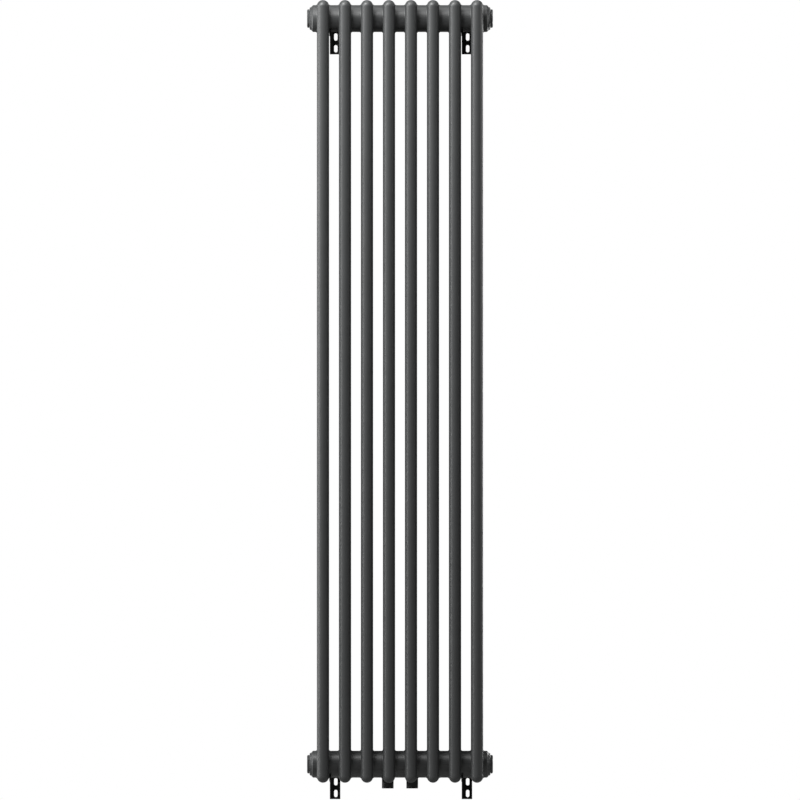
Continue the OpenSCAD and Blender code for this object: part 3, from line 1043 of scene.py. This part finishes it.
def hook_outline():
    lower_turn = 360 - math.degrees(math.asin(ARM_HALF / HOOK_R))
    upper_turn = math.degrees(math.asin(ARM_HALF / HOOK_BORE_R))
    tip_r = (HOOK_R - HOOK_BORE_R) / 2
    tip_middle = (HOOK_R + HOOK_BORE_R) / 2
    tip_start = TIP_ANGLE + math.degrees(tip_r / tip_middle)
    turn = math.radians(tip_start)
    tip = (tip_middle * math.cos(turn), tip_middle * math.sin(turn))
    corner_y, corner_z = ARM_END - ARM_CORNER_R, ARM_HALF - ARM_CORNER_R
    return (
        arc((0, 0), HOOK_R, tip_start, lower_turn, 40)
        + arc((corner_y, -corner_z), ARM_CORNER_R, -90, 0, 6)
        + arc((corner_y, corner_z), ARM_CORNER_R, 0, 90, 6)
        + arc((0, 0), HOOK_BORE_R, upper_turn, tip_start - 360, 48)
        + arc(tip, tip_r, tip_start - 180, tip_start - 360, 8)[1:-1]
    )


def liner_outline():
    outside = arc((0, 0), LINER_R, LINER_START, 360, 40)
    inside = arc((0, 0), LINER_BORE_R, 360, LINER_START, 40)
    return outside + inside


# %% Hooks and liners
hook = plate_from_outline("hook_shape", hook_outline(), ARM_X0, ARM_X1)
combine(hook, rod_x(ARM_X0 - OVERCUT, ARM_X1 + OVERCUT, BOLT_HOLE_R, (BOLT_Y, 0), 32))
round_edges(hook, 0.4 * MM, 3, 40)
liner_x0, liner_x1 = ARM_X0 - 0.2 * MM, ARM_X1 + 0.5 * MM
liner = plate_from_outline("liner_shape", liner_outline(), liner_x0, liner_x1)
round_edges(liner, 0.25 * MM, 2, 40)
for corner in CORNERS:
    piece = copy_to(hook, f"bracket_hook_{corner}", at_bracket(corner))
    node = f"hook_arm_{corner}"
    finish_piece(piece, BRACKET_BLACK, "radiator", [node], angle=30)
    piece = copy_to(liner, f"hook_cushion_{corner}", at_bracket(corner))
    node = f"hook_liner_{corner}"
    finish_piece(piece, BLACK_PLASTIC, "radiator", [node], angle=30)
delete(hook)
delete(liner)
print(f"each hook lies {ARM_X0 / MM:.1f} to {ARM_X1 / MM:.1f} mm from the middle of its gap")

# %% Wall plates with their flanges
angle_low, angle_high = box("wall_angle_top_left")
PLATE_X0, PLATE_X1 = angle_low.x - arm_shift.x, angle_high.x - arm_shift.x
PLATE_LOW, PLATE_HIGH = angle_low.z - arm_shift.z, angle_high.z - arm_shift.z
WALL_Y, FLANGE_Y = angle_high.y, angle_low.y
SHEET = 3 * MM
BEND_INNER_R = 1 * MM
BEND_OUTER_R = SHEET + BEND_INNER_R
FLANGE_X = ARM_X1 + 0.1 * MM
FLANGE_LOW, FLANGE_HIGH = -16 * MM, 18 * MM
TAB_TOP = -24 * MM
SLOT_X = 3.6 * MM
SLOT_HALF_W = 3.5 * MM
SLOT_STRAIGHT = 4 * MM
SLOT_DROPS = [36.8 * MM, 60.8 * MM]
TRAVEL = 10 * MM


def bent_sheet(name, z0, z1):
    """The angle seen from above, bent with a round outer corner, between two heights."""
    turn = (FLANGE_X + BEND_OUTER_R, WALL_Y - BEND_OUTER_R)
    outline = (
        [(FLANGE_X + SHEET, FLANGE_Y), (FLANGE_X, FLANGE_Y)]
        + arc(turn, BEND_OUTER_R, 180, 90, 10)
        + [(PLATE_X1, WALL_Y), (PLATE_X1, WALL_Y - SHEET)]
        + arc(turn, BEND_INNER_R, 90, 180, 6)
    )
    return extruded(name, [(x, y, z0) for x, y in outline], (0, 0, z1 - z0))


def stadium_y(x, z, half_width, straight):
    """A cutter through the wall plate: an upright slot with round ends."""
    upper = arc((0, straight), half_width, 0, 180, 12)
    lower = arc((0, -straight), half_width, 180, 360, 12)
    y0, y1 = WALL_Y - SHEET - 2 * OVERCUT, WALL_Y + 2 * OVERCUT
    return extruded("slot", [(x + dx, y0, z + dz) for dx, dz in upper + lower], (0, y1 - y0, 0))


def flange_slot():
    """A cutter through the flange, as long as the bolt has to travel."""
    back = arc((BOLT_Y + TRAVEL, 0), BOLT_HOLE_R, -90, 90, 12)
    front = arc((BOLT_Y - TRAVEL, 0), BOLT_HOLE_R, 90, 270, 12)
    x0, x1 = FLANGE_X - 2 * OVERCUT, FLANGE_X + SHEET + 2 * OVERCUT
    return plate_from_outline("flange_slot", back + front, x0, x1)


def wall_angle_shape():
    sheet = bent_sheet("wall_angle_shape", TAB_TOP, PLATE_HIGH)
    bend_end = WALL_Y - SHEET - BEND_INNER_R
    beyond = 5 * MM
    window_x1 = FLANGE_X + SHEET + 0.6 * MM
    for z0, z1 in [(TAB_TOP - beyond, FLANGE_LOW), (FLANGE_HIGH, PLATE_HIGH + beyond)]:
        low = (FLANGE_X - beyond, FLANGE_Y - beyond, z0)
        combine(sheet, block(low, (window_x1, bend_end, z1)))
    tab = block((PLATE_X0, WALL_Y - SHEET, PLATE_LOW), (PLATE_X1, WALL_Y, TAB_TOP + 0.5 * MM))
    combine(sheet, tab, "UNION")
    for drop in SLOT_DROPS:
        combine(sheet, stadium_y(SLOT_X, -drop, SLOT_HALF_W, SLOT_STRAIGHT))
    combine(sheet, flange_slot())
    return round_edges(sheet, 0.35 * MM, 2, 40)


angle_shape = wall_angle_shape()
for corner in CORNERS:
    piece = copy_to(angle_shape, f"wall_plate_{corner}", at_bracket(corner))
    node = f"wall_angle_{corner}"
    finish_piece(piece, BRACKET_BLACK, node, [node], angle=30)
delete(angle_shape)
print(f"wall plates: {len(CORNERS)}, wall at y = {WALL_Y / MM:.1f} mm")

# %% [markdown]
# ## Clamp bolts
#
# The clamp is a round-headed bolt with a washer and a hexagon nut, all zinc plated. One clamp is
# modelled and copied to the four brackets.

# %% Bolt, washer and nut
bolt_low, bolt_high = box("clamp_bolts")
HEAD_X0 = bolt_low.x - GAP_X["left"]
BOLT_TAIL_X = bolt_high.x - GAP_X["right"]
HEAD_R = (middle("clamp_bolts").z - bolt_low.z) - HEADER_SPAN / 2
HEAD_EDGE = 0.2 * MM
BOLT_PITCH = 1.25 * MM
washer_low, washer_high = box("clamp_washers")
WASHER_X0 = washer_low.x - GAP_X["left"]
WASHER_X1 = washer_high.x - GAP_X["right"]
nut_low, nut_high = box("clamp_nuts")
NUT_X1 = nut_high.x - GAP_X["right"]
NUT_CORNERS = nut_high.z - nut_low.z - HEADER_SPAN
WASHER_R = 8 * MM


def bolt_shape():
    head_h = ARM_X0 - HEAD_X0
    sphere_r = (HEAD_R**2 + head_h**2) / (2 * head_h)
    rise = math.degrees(math.asin((HEAD_R - HEAD_EDGE) / sphere_r))
    head = arc((HEAD_X0 + sphere_r, 0), sphere_r, 180, 180 - rise, 14)
    profile = head + [(ARM_X0, HEAD_R - HEAD_EDGE), (ARM_X0, BOLT_R)]
    x = WASHER_X1 + 0.6 * MM
    profile.append((x, BOLT_R))
    while x < BOLT_TAIL_X - 1.6 * MM:
        crest = (x + BOLT_PITCH, BOLT_R - 0.02 * MM)
        profile += [(x + 0.6 * MM, BOLT_R - 0.6 * MM), crest]
        x += BOLT_PITCH
    profile += [(BOLT_TAIL_X, BOLT_R - 0.8 * MM), (BOLT_TAIL_X, 0)]
    return turned("bolt_shape", profile, closed=False, steps=48)


def washer_shape():
    bore_r = BOLT_R + 0.2 * MM
    profile = [
        (WASHER_X0, bore_r),
        (WASHER_X0, WASHER_R),
        (WASHER_X1, WASHER_R),
        (WASHER_X1, bore_r),
    ]
    return round_edges(turned("washer_shape", profile, steps=64), 0.2 * MM, 2, 40)


def nut_shape():
    nut = hexagon_x(WASHER_X1, NUT_X1, NUT_CORNERS, 1.0 * MM, both_ends=True)
    bore_r = BOLT_R + 0.05 * MM
    combine(nut, rod_x(WASHER_X1 - OVERCUT, NUT_X1 + OVERCUT, bore_r, vertices=48))
    return round_edges(nut, 0.12 * MM, 2, 28)


for make, name, node in [
    (bolt_shape, "clamp_bolt_set", "clamp_bolts"),
    (washer_shape, "clamp_washer_set", "clamp_washers"),
    (nut_shape, "clamp_nut_set", "clamp_nuts"),
]:
    shape = make()
    copies = []
    for corner in CORNERS:
        x, y, z = at_bracket(corner)
        copies.append(copy_to(shape, f"{name}_{corner}", (x, BOLT_Y, z)))
    delete(shape)
    finish_piece(join(name, copies), ZINC, "radiator", [node], angle=30)
print("clamps:", len(CORNERS))

# %% [markdown]
# ## Flow divider
#
# A plate inside the bottom header keeps the two pipe sockets apart, so that the water has to pass
# through the tubes. Nothing of it shows from outside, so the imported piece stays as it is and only
# gets its raw steel.

# %% Flow divider
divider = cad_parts["flow_divider"]
divider.data.materials.clear()
divider.data.materials.append(BARE_STEEL)
